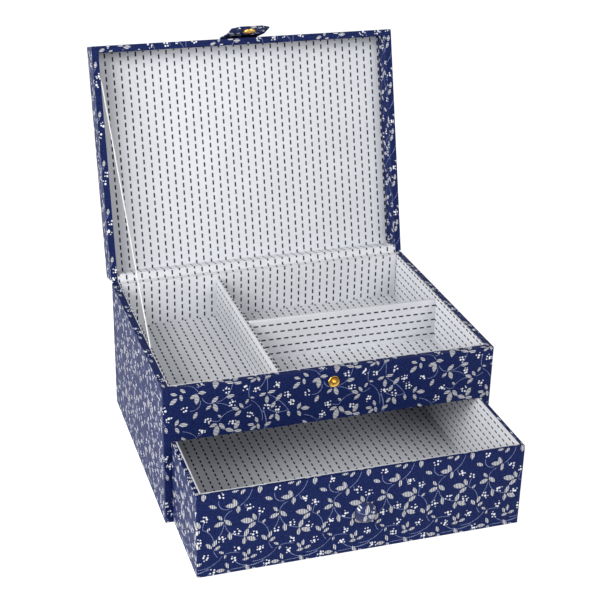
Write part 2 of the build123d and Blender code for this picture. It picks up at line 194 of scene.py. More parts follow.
# ---------------------------------------------------------------- printed cotton calico
# One repeat of the print: across the cloth, and down from the repeat's top. A sprig is the point it grows from
# and its leaves, each with its middle, its direction in degrees and its length.
REPEAT_ACROSS, REPEAT_UP = 46.3, 107.2
SPRIGS = (
    ((35.5, 14.0), ((32.0, 10.5, 115, 7.5), (28.5, 13.0, 175, 9.0), (34.5, 17.5, -95, 7.0))),
    ((13.5, 11.5), ((13.5, 11.5, 155, 7.0),)),
    ((23.5, 26.0), ((19.5, 23.0, 130, 6.0), (18.5, 29.0, 200, 8.5), (26.0, 28.5, -45, 8.0))),
    ((4.8, 31.5), ((-4.3, 29.5, 170, 11.0), (1.7, 27.0, 110, 7.0), (-0.3, 34.5, 215, 8.0),
                   (9.7, 32.5, 45, 4.5))),
    ((27.5, 42.0), ((27.5, 42.0, -80, 7.5),)),
    ((40.0, 44.5), ((41.3, 41.0, 70, 8.0), (45.5, 47.5, -25, 9.0), (39.5, 48.5, -95, 7.0))),
    ((14.5, 52.0), ((10.0, 48.5, 130, 7.0), (15.0, 46.5, 65, 7.0), (17.0, 51.5, 35, 6.0))),
    ((22.0, 59.0), ((20.5, 56.5, 150, 5.0), (23.5, 61.0, -100, 4.0))),
    ((43.5, 64.0), ((40.0, 62.0, 120, 6.0), (43.5, 60.0, 85, 6.0), (47.5, 65.0, 20, 6.0),
                    (41.0, 66.5, 190, 6.0))),
    ((23.6, 74.0), ((19.5, 74.0, 180, 7.5), (25.0, 70.0, 112, 6.5), (26.5, 78.0, -78, 7.0))),
    ((42.0, 75.0), ((42.0, 75.0, -60, 7.0),)),
    ((2.1, 81.0), ((2.1, 78.0, 140, 6.0), (0.8, 83.5, 200, 8.0))),
    ((16.9, 82.0), ((13.6, 79.6, 150, 7.0), (20.3, 84.6, -40, 8.0))),
    ((3.0, 93.5), ((3.0, 93.5, 190, 6.0),)),
    ((5.0, 103.0), ((1.7, 103.0, 205, 6.5), (9.0, 102.8, -25, 6.5), (6.1, 108.5, -95, 8.0))),
    ((34.0, 104.0), ((29.4, 100.2, 130, 8.0), (36.1, 100.8, 70, 6.0), (32.2, 106.9, 190, 6.0),
                     (38.3, 108.5, -130, 6.0))),
)
BERRY_CLUSTERS = (
    (20.5, 3.0), (44.0, 17.0), (7.0, 22.0), (33.3, 39.0), (2.0, 43.5), (20.5, 43.3), (7.0, 59.0),
    (34.0, 55.0), (13.0, 74.0), (8.6, 83.5), (32.5, 83.0), (21.9, 92.4), (13.6, 96.3), (31.0, 65.0),
)
STEMS = (                 # each is an arc through three points
    ((36.0, 14.0), (41.0, 10.0), (46.0, 0.0)), ((18.5, 7.0), (20.5, 14.0), (27.0, 16.0)),
    ((40.0, 13.0), (40.5, 16.0), (43.0, 17.5)), ((29.5, 17.5), (24.5, 21.0), (23.0, 27.0)),
    ((22.5, 30.0), (20.9, 36.5), (17.5, 42.0)), ((23.5, 30.0), (25.0, 35.0), (28.0, 39.0)),
    ((28.0, 39.0), (33.0, 42.0), (40.0, 44.0)), ((7.0, 24.0), (5.5, 28.0), (5.0, 31.5)),
    ((5.0, 32.0), (11.0, 37.0), (14.0, 47.0)), ((14.0, 54.0), (15.0, 57.0), (17.0, 60.0)),
    ((24.0, 58.5), (30.0, 58.0), (35.0, 59.0)), ((21.0, 60.0), (12.0, 68.0), (0.0, 70.0)),
    ((31.0, 66.0), (41.0, 73.0), (56.0, 70.0)), ((28.0, 74.5), (40.0, 74.0), (57.0, 71.0)),
    ((24.0, 76.0), (17.5, 84.5), (7.0, 93.0)), ((11.0, 74.5), (6.0, 84.0), (7.0, 93.0)),
)
LEAF_SLIMNESS = 0.46      # a leaf's width over its length
LEAF_BLUR = 0.02          # the softness of a leaf's edge, as a share of its length
HATCH_PITCH = 1.4         # engraved lines in the leaves, along the thread
BERRY_PITCH = 2.6
BERRY_JITTER = 0.6        # how far the berries stray from even rows, up to 1
BERRY_LARGEST, BERRY_SMALLEST = 1.15, 0.45    # radii, in the core of a cluster and at its edge
BERRY_BLUR = 0.12
CLUSTER_CORE, CLUSTER_RADIUS = 0.6, 3.5
# A stem is thinner than a pixel of the photograph, so its width and its dots are chosen to show, not measured.
STEM_WIDTH = 0.5
DOT_PITCH = 0.8
DOT_INK, GAP_INK = 0.9, 0.2    # how strongly a stem's dots and the gaps between them are printed


def arc_through(a, b, c):
    """The circle through three points and the cap of it from a to c: its centre, its crown, the way out to the
    crown and the cap's height."""
    (ax, ay), (bx, by), (cx, cy) = a, b, c
    d = 2 * (ax * (by - cy) + bx * (cy - ay) + cx * (ay - by))
    aa, bb, cc = ax * ax + ay * ay, bx * bx + by * by, cx * cx + cy * cy
    centre = Vector(((aa * (by - cy) + bb * (cy - ay) + cc * (ay - by)) / d,
                     (aa * (cx - bx) + bb * (ax - cx) + cc * (bx - ax)) / d, 0))
    radius = hypot(ax - centre.x, ay - centre.y)
    chord = (Vector((ax, ay, 0)) + Vector((cx, cy, 0))) / 2 - centre
    out = chord.normalized()
    return centre, centre + out * radius, out, radius - chord.length


def print_blocks():
    """The calico's printing blocks: how much leaf, berry and stem colour lies at a place of the cloth."""
    tree = bpy.data.node_groups.new("calico print", "ShaderNodeTree")
    tree.interface.new_socket("Place", in_out="INPUT", socket_type="NodeSocketVector")
    for block in ("Leaf", "Berry", "Stem"):
        tree.interface.new_socket(block, in_out="OUTPUT", socket_type="NodeSocketFloat")
    place = tree.nodes.new("NodeGroupInput").outputs[0]
    out = tree.nodes.new("NodeGroupOutput")
    half_repeat = (REPEAT_ACROSS / 2, REPEAT_UP / 2, 1)

    def way_from(point, centre):
        """The way to a place from the nearest repeat of a point of the print."""
        away = add(tree, VECTORS, [centre, (point[0], point[1], 0)], operation="SUBTRACT")
        return add(tree, VECTORS, [away, half_repeat, [-side for side in half_repeat]], operation="WRAP")

    # A leaf is what two equal circles share. Folded onto one side, one distance shows both.
    slim = LEAF_SLIMNESS / 2
    circle = (0.25 + slim ** 2) / (2 * slim)
    leaf = None
    for (grows_x, grows_y), leaves in SPRIGS:
        sprig = way_from((grows_x, -grows_y), place)
        for x, y, turn, length in leaves:
            own = add(tree, "ShaderNodeMapping",
                      {"Vector": sprig, "Location": (x - grows_x, grows_y - y, 0),
                       "Rotation": (0, 0, radians(turn)), "Scale": (length, length, 1)},
                      vector_type="TEXTURE")
            folded = add(tree, VECTORS, [own], operation="ABSOLUTE")
            inside = add(tree, VECTORS, [folded, (0, slim - circle, 0)], operation="DISTANCE")
            leaf = add(tree, MATHS, [leaf, inside], operation="MINIMUM") if leaf else inside
    inked = add(tree, RANGE, [leaf, circle - LEAF_BLUR, circle + LEAF_BLUR, 1.0, 0.0])
    tree.links.new(inked.outputs[0], out.inputs["Leaf"])

    # Berries are whole dots, large in the middle of a cluster and small at its edge.
    dots = add(tree, "ShaderNodeTexVoronoi",
               {"Vector": place, "Scale": 1 / BERRY_PITCH, "Randomness": BERRY_JITTER},
               voronoi_dimensions="2D")
    nearest = None
    for x, y in BERRY_CLUSTERS:
        away = add(tree, VECTORS, [way_from((x, -y), dots.outputs["Position"])], operation="LENGTH")
        nearest = add(tree, MATHS, [nearest, away], operation="MINIMUM") if nearest else away
    size = add(tree, RANGE, [nearest, CLUSTER_CORE, CLUSTER_RADIUS, BERRY_LARGEST, BERRY_SMALLEST],
               clamp=False)
    inner = add(tree, MATHS, [nearest, CLUSTER_RADIUS], operation="LESS_THAN")
    size = add(tree, MATHS, [size, inner], operation="MULTIPLY")
    gap = add(tree, VECTORS, [place, dots.outputs["Position"]], operation="DISTANCE")
    gap = add(tree, MATHS, [gap, size], operation="SUBTRACT")
    inked = add(tree, RANGE, [gap, -BERRY_BLUR, BERRY_BLUR, 1.0, 0.0])
    tree.links.new(inked.outputs[0], out.inputs["Berry"])

    stem = None
    for points in STEMS:
        centre, crown, outward, rise = arc_through(*((x, -y) for x, y in points))
        away = way_from(crown, place)
        off = add(tree, VECTORS, [away, centre - crown], operation="DISTANCE")
        drawn = add(tree, MATHS, [off, (centre - crown).length, STEM_WIDTH / 2], operation="COMPARE")
        height = add(tree, VECTORS, [away, outward], operation="DOT_PRODUCT")
        capped = add(tree, MATHS, [height, -rise], operation="GREATER_THAN")
        drawn = add(tree, MATHS, [drawn, capped], operation="MULTIPLY")
        stem = add(tree, MATHS, [stem, drawn], operation="MAXIMUM") if stem else drawn
    speckle = add(tree, "ShaderNodeTexChecker", {"Vector": place, "Scale": 1 / DOT_PITCH})
    speckle = add(tree, MATHS, [speckle.outputs["Fac"], DOT_INK - GAP_INK, GAP_INK], operation="MULTIPLY_ADD")
    tree.links.new(add(tree, MATHS, [stem, speckle], operation="MULTIPLY").outputs[0], out.inputs["Stem"])
    return tree


def printed_calico(name, blocks_tree, **glaze):
    """Glazed cotton calico, plain-woven and block-printed: deep navy, with sprigs of finely hatched
    grey-white leaves, white berries and thin dotted stems. The glaze reflects the room at flat angles, so a side
    seen askew looks paler."""
    material, tree, shader = new_material(name, **glaze)
    uv = add(tree, "ShaderNodeUVMap", uv_map="cloth")
    blocks = add(tree, "ShaderNodeGroup", [uv], node_tree=blocks_tree)
    hatch = add(tree, "ShaderNodeTexWave",
                {"Vector": uv, "Scale": tau / (WAVE_PHASE * HATCH_PITCH), "Distortion": 0.4})
    hatch = add(tree, RANGE, [hatch, 0.2, 0.5])
    leaf = add(tree, MIX, {"Factor": hatch, "A": linear("#2c3562"), "B": linear("#dcdcda")}, data_type="RGBA")
    dye = add(tree, NOISE, {"Vector": uv, "Scale": 0.5, "Detail": 5.0, "Roughness": 0.6},
              noise_dimensions="2D")
    dye = add(tree, RANGE, [dye, 0.3, 0.7])
    colour = add(tree, MIX, {"Factor": dye, "A": linear("#101b44"), "B": linear("#1d2b60")}, data_type="RGBA")
    for block, ink in (("Stem", linear("#9fabd4")), ("Leaf", leaf), ("Berry", linear("#eef0f5"))):
        colour = add(tree, MIX, {"Factor": blocks.outputs[block], "A": colour, "B": ink}, data_type="RGBA")
    feed(tree, colour, shader, "Base Color")
    weave(tree, shader, uv, 0.3)
    return material


# ---------------------------------------------------------------- lining cotton
STITCH_ROW = 7.5          # between rows of dashes
STITCH_PITCH = 7.4        # along a row
# The dashes measure about 4 by 1.1 in the photograph. They are drawn larger, to come out as dark as there.
STITCH_LENGTH, STITCH_END_BLUR = 4.5, 0.6
STITCH_WIDTH, STITCH_SIDE_BLUR = 1.5, 0.3
LINING_FINISH = {"Roughness": 0.85, "Specular_IOR_Level": 0.2, "Sheen_Weight": 0.05}


def stitch_printed_cotton():
    """White cotton, plain-woven and printed with rows of short navy dashes like a running stitch, each row half
    a step on from its neighbour. Matt, and a little uneven where it is glued over card."""
    material, tree, shader = new_material("stitch-printed cotton lining", **LINING_FINISH)
    uv = add(tree, "ShaderNodeUVMap", uv_map="cloth")
    parts = add(tree, "ShaderNodeSeparateXYZ", [uv])
    rows = add(tree, MATHS, [parts.outputs[0], STITCH_ROW], operation="DIVIDE")
    row = add(tree, MATHS, [rows], operation="ROUND")
    odd = add(tree, MATHS, [row, 2.0], operation="FLOORED_MODULO")
    half_on = add(tree, MATHS, [odd, 0.5], operation="MULTIPLY")
    steps = add(tree, MATHS, [parts.outputs[1], 1 / STITCH_PITCH, half_on], operation="MULTIPLY_ADD")
    step = add(tree, MATHS, [steps], operation="ROUND")
    dash = None
    for place, middle, pitch, size, blur in ((rows, row, STITCH_ROW, STITCH_WIDTH, STITCH_SIDE_BLUR),
                                             (steps, step, STITCH_PITCH, STITCH_LENGTH, STITCH_END_BLUR)):
        off = add(tree, MATHS, [place, middle], operation="SUBTRACT")
        off = add(tree, MATHS, [off], operation="ABSOLUTE")
        inked = add(tree, RANGE, [off, (size - blur) / 2 / pitch, (size + blur) / 2 / pitch, 1.0, 0.0])
        dash = add(tree, MATHS, [dash, inked], operation="MULTIPLY") if dash else inked
    tone = add(tree, NOISE, {"Vector": uv, "Scale": 0.03, "Detail": 3.0}, noise_dimensions="2D")
    cotton = add(tree, MIX, {"Factor": tone, "A": linear("#e9eaee"), "B": linear("#dfe0e5")},
                 data_type="RGBA")
    colour = add(tree, MIX, {"Factor": dash, "A": cotton, "B": linear("#0c1020")}, data_type="RGBA")
    feed(tree, colour, shader, "Base Color")
    weave(tree, shader, uv, 0.3)
    return material


def edge_cotton_painted_highlight():
    """The same cotton where it turns over the edge of a card, between two rows of dashes, so that no dashes
    show. Its colour is drawn lighter than the lining's own cotton: a painted highlight along the card edges.
    """
    material, tree, shader = new_material("turned-over cotton lining with painted highlight", **LINING_FINISH)
    uv = add(tree, "ShaderNodeUVMap", uv_map="cloth")
    tone = add(tree, NOISE, {"Vector": uv, "Scale": 0.2, "Detail": 3.0}, noise_dimensions="2D")
    # painted highlight: these colours are lighter than the lining's own cotton, standing in for light catching
    # the card edges
    colour = add(tree, MIX, {"Factor": tone, "A": linear("#f3f3f6"), "B": linear("#e5e5ea")},
                 data_type="RGBA")
    feed(tree, colour, shader, "Base Color")
    weave(tree, shader, uv, 0.3)
    return material


def twisted_cord_cotton():
    """White cotton yarn, twisted and bleached: matt, with short loose fibres that mottle it."""
    material, tree, shader = new_material("twisted bleached cotton cord", Roughness=0.9, Sheen_Weight=0.15)
    uv = add(tree, "ShaderNodeUVMap", uv_map="cloth")
    fibre = add(tree, NOISE, {"Vector": uv, "Scale": 1.6, "Detail": 3.0}, noise_dimensions="2D")
    colour = add(tree, MIX, {"Factor": fibre, "A": linear("#fbfbfa"), "B": linear("#dadad8")},
                 data_type="RGBA")
    feed(tree, colour, shader, "Base Color")
    feed(tree, add(tree, BUMP, {"Strength": 0.4, "Distance": 0.1 * MM, "Height": fibre}), shader, "Normal")
    return material


def polished_brass():
    """Sheet brass, pressed and polished: warm yellow and bright, clouded a little by handling."""
    material, tree, shader = new_material("pressed and polished brass", Metallic=1.0,
                                          Base_Color=linear("#dfae52"))
    place = add(tree, "ShaderNodeTexCoord").outputs["Object"]
    clouds = add(tree, NOISE, {"Vector": place, "Scale": 500.0, "Detail": 4.0})
    feed(tree, add(tree, RANGE, [clouds, 0.3, 0.7, 0.16, 0.32]), shader, "Roughness")
    scratches = add(tree, NOISE, {"Vector": place, "Scale": 2500.0, "Detail": 2.0})
    bump = add(tree, BUMP, {"Strength": 0.15, "Distance": 0.03 * MM, "Height": scratches})
    feed(tree, bump, shader, "Normal")
    return material


def plated_steel():
    """Pressed steel, nickel-plated: pale grey, with a soft shine."""
    material, tree, shader = new_material("nickel-plated pressed steel", Metallic=1.0,
                                          Base_Color=linear("#c9c8c4"))
    place = add(tree, "ShaderNodeTexCoord").outputs["Object"]
    clouds = add(tree, NOISE, {"Vector": place, "Scale": 600.0, "Detail": 3.0})
    feed(tree, add(tree, RANGE, [clouds, 0.3, 0.7, 0.25, 0.42]), shader, "Roughness")
    return material


def rolled_greyboard():
    """Greyboard, rolled from waste paper: dull grey-brown and speckled."""
    material, tree, shader = new_material("rolled greyboard", Roughness=0.95)
    place = add(tree, "ShaderNodeTexCoord").outputs["Object"]
    specks = add(tree, NOISE, {"Vector": place, "Scale": 700.0, "Detail": 5.0})
    colour = add(tree, MIX, {"Factor": specks, "A": linear("#6f6a61"), "B": linear("#98938a")},
                 data_type="RGBA")
    feed(tree, colour, shader, "Base Color")
    return material


calico_print = print_blocks()
calico = printed_calico("glazed printed cotton calico", calico_print, Roughness=0.5, Specular_IOR_Level=0.06)
drawn_calico = printed_calico("printed calico drawn tight over a button", calico_print, Roughness=0.42,
                              Specular_IOR_Level=0.3, Sheen_Weight=0.3, Sheen_Roughness=0.4)
lining = stitch_printed_cotton()
lining_edge_painted_highlight = edge_cotton_painted_highlight()
cord_cotton = twisted_cord_cotton()
brass = polished_brass()
steel = plated_steel()
greyboard = rolled_greyboard()


# ---------------------------------------------------------------- making pieces
def finish_piece(name, mesh, materials, nodes, body=None):
    """Make the object of a finished mesh, let it ride on its body and stand for its CAD nodes."""
    piece = bpy.data.objects.new(name, mesh)
    bpy.context.scene.collection.objects.link(piece)
    mesh.materials.clear()
    for material in materials:
        mesh.materials.append(material)
    if body:
        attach(piece, body)
    if nodes:
        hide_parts(*nodes)
    return piece


SHARP = radians(50)       # edges that turn more than this stay crisp


def to_mesh(name, shape):
    """Turn a finished shape into a mesh, shaded smooth but for its sharp edges."""
    for face in shape.faces:
        face.smooth = True
    for edge in shape.edges:
        if len(edge.link_faces) == 2 and edge.calc_face_angle(0) > SHARP:
            edge.smooth = False
    mesh = bpy.data.meshes.new(name)
    shape.to_mesh(mesh)
    shape.free()
    return mesh


def dressed(node_name, body, lay, own_frame=None, bevel=0.0, materials=None, is_edge=None):
    """Copy a CAD panel, ease its edges and lay cloth on it. lay gives the cloth's place from a corner's place
    and its face's normal, both in the panel's own frame."""
    copy = bmesh.new()
    copy.from_mesh(frame["nodes"][node_name].data)
    bmesh.ops.remove_doubles(copy, verts=copy.verts, dist=0.002 * MM)
    bmesh.ops.dissolve_limit(copy, angle_limit=radians(0.4), verts=copy.verts, edges=copy.edges)
    if bevel:
        ridges = [edge for edge in copy.edges
                  if len(edge.link_faces) == 2 and edge.calc_face_angle(0) > SHARP]
        bmesh.ops.bevel(copy, geom=ridges, offset=bevel * MM, segments=3, profile=0.5, affect="EDGES",
                        clamp_overlap=True)
    bmesh.ops.triangulate(copy, faces=[face for face in copy.faces if len(face.verts) > 4])
    to_own = (own_frame or Matrix.Identity(4)).inverted()
    turn = to_own.to_3x3()
    cloth = copy.loops.layers.uv.new("cloth")
    for face in copy.faces:
        normal = turn @ face.normal
        for corner in face.loops:
            corner[cloth].uv = lay(to_own @ (corner.vert.co / MM), normal)
        if is_edge:
            face.material_index = 1 if is_edge(normal) else 0
    mesh = to_mesh(node_name, copy)
    return finish_piece(node_name + "_dressed", mesh, materials or [calico], [node_name], body)


def facing(normal):
    """The axis that a face looks along."""
    return max(range(3), key=lambda axis: abs(normal[axis]))


def wrapped_round(low, high, turned, shift):
    """Lay cloth that runs on round the upright corners of a box. Turned cloth has its thread lying down."""
    def lay(place, normal):
        axis = facing(normal)
        across, up = place.x, place.z
        if axis == X and normal.x < 0:
            across = low.x + low.y - place.y
        elif axis == X:
            across = high.x + place.y - low.y
        elif axis == Y and normal.y > 0:
            across = 2 * high.x + high.y - low.y - place.x
        elif axis == Z:
            up = high.z + place.y - low.y
        return (up + shift[0], shift[1] - across) if turned else (across + shift[0], up + shift[1])
    return lay


def in_rows(run, shift=0.0):
    """Lay lining cloth whose rows of dashes run along the given axis. It shows none where it turns over an
    edge."""
    def lay(place, normal):
        axis = facing(normal)
        if axis == run:
            return STITCH_ROW / 2, place[(run + 1) % 3] + place[(run + 2) % 3]
        column = 3 - axis - run
        return place[column] + shift, place[run]
    return lay


# ---------------------------------------------------------------- stay cord
CORD_TWIST = 3.4          # one turn of the three strands
STRAND_BULGE = 0.32       # how much of the cord's radius the grooves between strands take


def twist_tree():
    """Geometry nodes: sweep a three-lobed section along a curve, turning it as it goes."""
    tree = bpy.data.node_groups.new("twisted cord", "GeometryNodeTree")
    for label, kind in (("Line", "Geometry"), ("Radius", "Float"), ("Twist", "Float"), ("Bulge", "Float"),
                        ("Strands", "Int"), ("Sides", "Int"), ("Cotton", "Material")):
        tree.interface.new_socket(label, in_out="INPUT", socket_type="NodeSocket" + kind)
    tree.interface.new_socket("Cord", in_out="OUTPUT", socket_type="NodeSocketGeometry")
    given = tree.nodes.new("NodeGroupInput").outputs
    out = tree.nodes.new("NodeGroupOutput")
    step = add(tree, MATHS, [given["Twist"], 10.0], operation="DIVIDE")
    rings = add(tree, "GeometryNodeResampleCurve", {"Curve": given["Line"], "Length": step}, mode="LENGTH")
    run = add(tree, "GeometryNodeSplineParameter").outputs["Length"]
    turns = add(tree, MATHS, [run, given["Twist"]], operation="DIVIDE")
    twisted = add(tree, "GeometryNodeSetCurveTilt",
                  {"Curve": rings, "Tilt": add(tree, MATHS, [turns, tau], operation="MULTIPLY")})
    section = add(tree, "GeometryNodeCurvePrimitiveCircle",
                  {"Resolution": given["Sides"], "Radius": given["Radius"]}, mode="RADIUS")
    share = add(tree, MATHS, [add(tree, "GeometryNodeInputIndex"), given["Sides"]], operation="DIVIDE")
    angle = add(tree, MATHS, [share, tau], operation="MULTIPLY")
    lobes = add(tree, MATHS, [angle, given["Strands"]], operation="MULTIPLY")
    lobes = add(tree, MATHS, [lobes], operation="COSINE")
    lobes = add(tree, MATHS, [add(tree, MATHS, [lobes, 1.0], operation="SUBTRACT"), 2.0], operation="DIVIDE")
    swell = add(tree, MATHS, [lobes, given["Bulge"], 1.0], operation="MULTIPLY_ADD")
    place = add(tree, VECTORS, {0: add(tree, "GeometryNodeInputPosition"), 3: swell}, operation="SCALE")
    lobed = add(tree, "GeometryNodeSetPosition", {"Geometry": section, "Position": place})
    swept = add(tree, "GeometryNodeCurveToMesh",
                {"Curve": twisted, "Profile Curve": lobed, "Fill Caps": True})
    real = add(tree, "GeometryNodeRealizeInstances", [swept])
    coated = add(tree, "GeometryNodeSetMaterial", {"Geometry": real, "Material": given["Cotton"]})
    tree.links.new(coated.outputs[0], out.inputs[0])
    return tree


def stay_cord():
    """The twisted cotton cord that stops the lid, from the left wall to the lid's rim."""
    curve = bpy.data.curves.new("cord_line", "CURVE")
    curve.dimensions = "3D"
    spline = curve.splines.new("POLY")
    spline.points.add(len(CORD_ROUTE) - 1)
    for point, place in zip(spline.points, CORD_ROUTE):
        point.co = (*place, 1)
    line = bpy.data.objects.new("cord_line", curve)
    bpy.context.scene.collection.objects.link(line)

    tree = twist_tree()
    maker = line.modifiers.new("twist", "NODES")
    maker.node_group = tree
    sockets = {item.name: item.identifier for item in tree.interface.items_tree}
    chosen = {"Radius": CORD_DIAMETER / 2, "Twist": CORD_TWIST * MM, "Bulge": STRAND_BULGE, "Strands": 3,
              "Sides": 24, "Cotton": cord_cotton}
    for label, value in chosen.items():
        maker[sockets[label]] = value
    mesh = bpy.data.meshes.new_from_object(line.evaluated_get(bpy.context.evaluated_depsgraph_get()))
    bpy.data.objects.remove(line)

    start = Vector(CORD_ROUTE[0])
    along = (Vector(CORD_ROUTE[-1]) - start).normalized()
    cloth = mesh.uv_layers.new(name="cloth")
    for loop in mesh.loops:
        away = mesh.vertices[loop.vertex_index].co - start
        cloth.data[loop.index].uv = (away.dot(along) / MM, away.cross(along).x / MM)
    for face in mesh.polygons:
        face.use_smooth = True
    cord = finish_piece("stay_cord_twisted", mesh, [cord_cotton], ["stay_cord"])
    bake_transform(cord)


stay_cord()

# ---------------------------------------------------------------- printed cloth and linings
# Where the repeat starts on each cut of cloth, as the photograph shows it.
DRAWER_CUT = (143.2, -79.4)
CASE_CUT = (-88.9, -133.9)

case_box = (case_low, Vector((case_high.x, case_high.y, case_top)))
for node_name in ("outer_cloth", "base_cloth", "bay_cloth"):
    dressed(node_name, "case", wrapped_round(*case_box, True, CASE_CUT))
dressed("drawer_cloth", "drawer", wrapped_round(drawer_low, drawer_high, False, DRAWER_CUT))
lid_box = (Vector((-half_width, -lid_depth, 0)), Vector((half_width, 0, LID_TOP)))
dressed("lid_cloth", "lid", wrapped_round(*lid_box, True, CASE_CUT), lid_frame)

CARD_EDGE = 0.35          # how softly the cloth turns over a lining card's edge
TRAY_FLOOR_SHIFT = 4.8    # the floors' rows against the middle of the box
DRAWER_FLOOR_SHIFT = 2.0


def lined(node_name, body, run, shift=0.0, own_frame=None, plain_top=False):
    """Cover a card with lining cloth. The edges that its rows run into, and a plain top edge, show no dashes and
    are drawn lighter, a painted highlight."""
    def is_edge(normal):
        axis = facing(normal)
        return axis == run or (plain_top and axis == Z)
    dressed(node_name, body, in_rows(run, shift), own_frame, CARD_EDGE, [lining, lining_edge_painted_highlight],
            is_edge)


lined("tray_floor_lining", "case", Y, TRAY_FLOOR_SHIFT)
lined("drawer_floor_lining", "drawer", Y, DRAWER_FLOOR_SHIFT)
for side, run in (("left", Y), ("right", Y), ("front", Z), ("back", Z)):
    lined(f"tray_lining_{side}", "case", run, plain_top=True)
    lined(f"drawer_lining_{side}", "drawer", run, plain_top=True)
lined("long_divider", "case", Y)
lined("cross_divider", "case", X)
lined("lid_lining", "lid", Y, own_frame=lid_frame)


# ---------------------------------------------------------------- cloth across the hinge
HINGE_FOLD = 0.9          # the lining cloth folds within this distance of the hinge line
HINGE_FREE = 2.4          # and lies flat beyond this one
HINGE_EASE = 0.02         # keeps cloth off the wall that it lies on
HINGE_SIDE_GAP = 0.1
SPINE_LAP = 9.0           # how far the cloth at the back laps onto case and lid
SPINE_OUT = 0.35          # how far it stands out from them
SPINE_BEND = (1.6, 0.1, -1.4)  # heights at the hinge where it leaves the lid, turns and meets the case
SPINE_SIDE_GAP = 1.5


def ribbon(name, path, half_length, thickness, rise, turned):
    """A strip of cloth along X whose face follows the path of (y, z) points, with its other face to the path's
    right. rise is the cloth's coordinate where the path starts."""
    points = [Vector(point) for point in path]
    away = []
    for i in range(len(points)):
        along = points[min(i + 1, len(points) - 1)] - points[max(i - 1, 0)]
        away.append(Vector((-along.y, along.x)).normalized() * thickness)
    run = [rise]
    for a, b in zip(points, points[1:]):
        run.append(run[-1] + (b - a).length)
    outline = points + [p - n for p, n in zip(points, away)][::-1]
    run = run + run[::-1]
    last = len(outline) - 1
    strip = bmesh.new()
    cloth = strip.loops.layers.uv.new("cloth")
    sides = (-half_length, half_length)
    ends = [[strip.verts.new((x * MM, p.x * MM, p.y * MM)) for p in outline] for x in sides]

    def close(corners, places):
        face = strip.faces.new(corners)
        for corner, (across, up) in zip(face.loops, places):
            corner[cloth].uv = (up, -across) if turned else (across, up)
    for i in range(len(outline)):
        j = (i + 1) % len(outline)
        close((ends[0][i], ends[1][i], ends[1][j], ends[0][j]),
              ((sides[0], run[i]), (sides[1], run[i]), (sides[1], run[j]), (sides[0], run[j])))
    for end in ends:
        for i in range(len(points) - 1):
            close((end[i], end[i + 1], end[last - i - 1], end[last - i]), [(STITCH_ROW / 2, 0)] * 4)
    bmesh.ops.recalc_face_normals(strip, faces=strip.faces)
    return to_mesh(name, strip)


def in_lid(y, z):
    """A point of the lid's own frame, as (y, z) in the row frame."""
    point = lid_frame @ Vector((0, y, z))
    return point.y, point.z


def hinge_cloths():
    """Lining cloth runs from the tray's back wall over both wall edges and up the lid's rear wall. Printed
    cloth closes the joint at the back."""
    top = case_top + HINGE_CLOTH
    inside = -wall - HINGE_CLOTH
    path = [(tray_back, top), (hinge_line.y - HINGE_FREE, top), (hinge_line.y - HINGE_FOLD, top),
            in_lid(-HINGE_FOLD, HINGE_EASE), in_lid(-HINGE_FREE, HINGE_EASE),
            in_lid(inside + HINGE_CLOTH, HINGE_EASE), in_lid(inside, HINGE_CLOTH), in_lid(inside, LID_INSIDE)]
    mesh = ribbon("hinge_lining", path, inner_x - HINGE_SIDE_GAP, HINGE_CLOTH - 2 * HINGE_EASE, case_top,
                  False)
    strip = finish_piece("hinge_lining_cloth", mesh, [lining],
                         ["hinge_lining_case", "hinge_lining_lid"])
    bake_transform(strip)

    leaves_lid, turns, meets_case = SPINE_BEND
    behind = hinge_line.y + SPINE_OUT
    spine = [in_lid(SPINE_OUT, SPINE_LAP), in_lid(SPINE_OUT, leaves_lid), (behind, hinge_line.z + turns),
             (behind, hinge_line.z + meets_case), (behind, hinge_line.z - SPINE_LAP)]
    mesh = ribbon("hinge_spine", spine, half_width - SPINE_SIDE_GAP, SPINE_OUT - HINGE_EASE,
                  case_top + SPINE_LAP, True)
    strip = finish_piece("hinge_spine_cloth", mesh, [calico], [])
    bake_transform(strip)


hinge_cloths()


# ---------------------------------------------------------------- tab
def strap_stations():
    """The middle line of the tab's strap in the lid's frame, as (y, z, distance past the fold line)."""
    half = TAB_THICKNESS / 2
    top = LID_TOP + half
    front = -lid_depth - half
    bend = half + TAB_TURN
    fold_y, fold_z = TAB_FOLD
    lean = radians(TAB_LEAN)
    pieces = 6
    line = [(-lid_depth + TAB_ON_TOP - i * (TAB_ON_TOP - bend + half) / pieces, top) for i in range(pieces)]
    turns = [radians(angle) for angle in range(0, 91, 15)]
    line += [(front + bend - bend * sin(turn), top - bend + bend * cos(turn)) for turn in turns]
    y, z = line[-1]
    shares = (0.2, 0.4, 0.6, 0.8, 0.9, 0.95)
    line += [(y + (fold_y - y) * share, z + (fold_z - z) * share) for share in shares]
    steps = [hypot(b[0] - a[0], b[1] - a[1]) for a, b in zip(line, line[1:] + [TAB_FOLD])]
    stations = [(y, z, -sum(steps[i:])) for i, (y, z) in enumerate(line)]
    beyond = [0, 1, 2, 4, 7, 10, 13, 16, TAB_SHOULDER, 20.5, 22, 23.5, TAB_LENGTH - half]
    beyond += [TAB_LENGTH - half + half * sin(radians(angle)) for angle in (30, 55, 75, 88)]
    return stations + [(fold_y - d * sin(lean), fold_z - d * cos(lean), d) for d in beyond]


